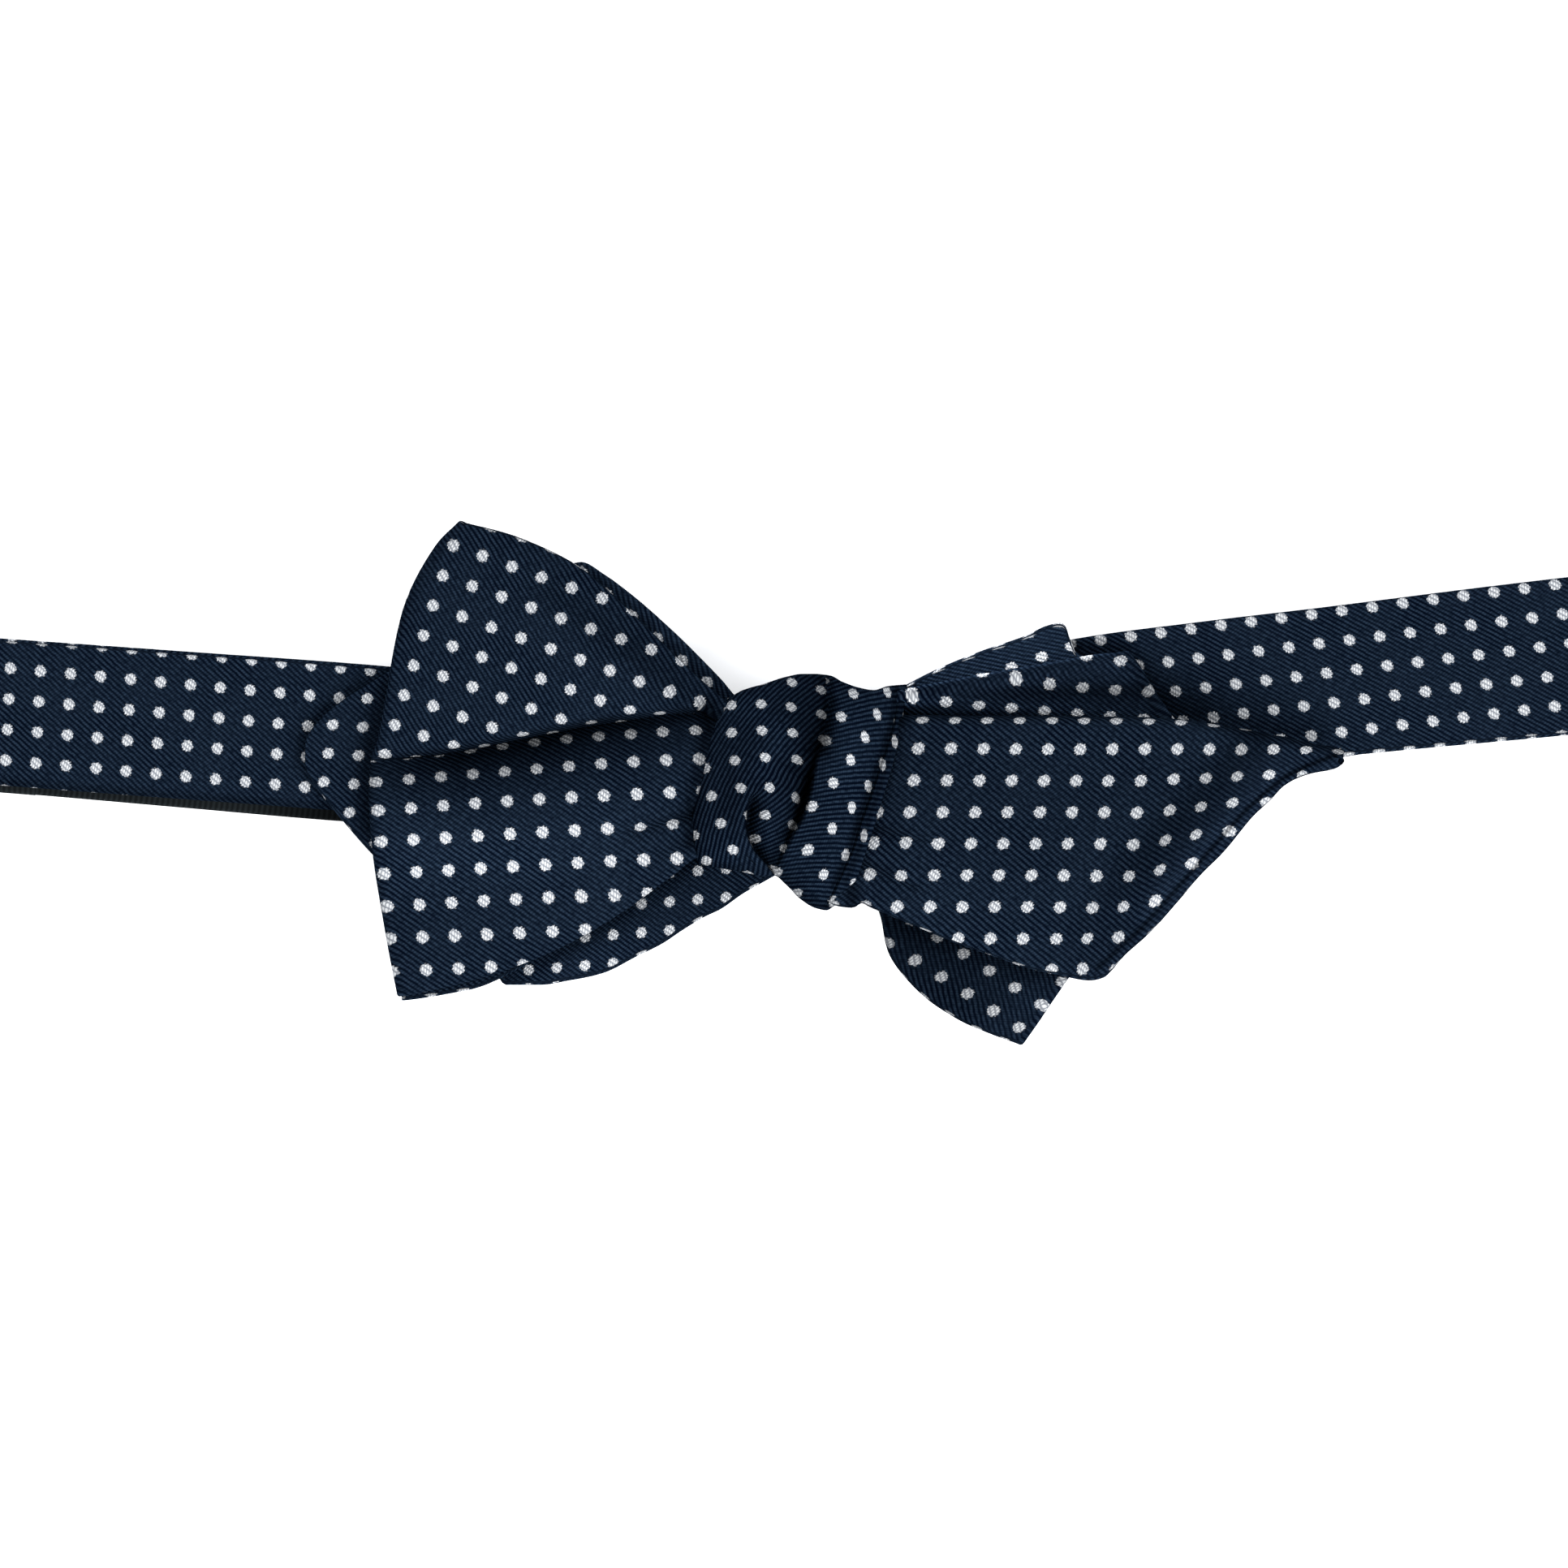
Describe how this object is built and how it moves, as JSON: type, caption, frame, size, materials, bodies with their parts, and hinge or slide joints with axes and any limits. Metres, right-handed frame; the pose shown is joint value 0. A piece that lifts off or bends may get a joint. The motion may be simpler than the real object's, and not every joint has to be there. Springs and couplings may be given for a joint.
{
  "type": "diamond point bow tie",
  "caption": "Self-tied bow tie with diamond points in navy dotted silk, lying front up with its neckband pressed flat.",
  "frame": {"origin": "middle of the bounding box, on its underside, where the back of the neck loop rests on the table", "axes": "+X along the neckband to the right as seen from the front, +Y up the wings, +Z from the table towards the front of the bow"},
  "size_m": [0.2152, 0.0634, 0.0181],
  "materials": {
    "navy_silk": "navy silk twill with a silver-white pin dot repeat",
    "black_grosgrain": "matt black ribbed tape",
    "clasp_metal": "satin nickel finish"
  },
  "bodies": {
    "root": {"knot": "navy_silk", "front_loop": "navy_silk", "rear_loop": "navy_silk", "front_tail": "navy_silk", "rear_tail": "navy_silk", "neckband_left": "navy_silk", "neckband_right": "navy_silk", "adjuster_tape": "black_grosgrain", "clasp": "clasp_metal"}
  },
  "joints": []
}
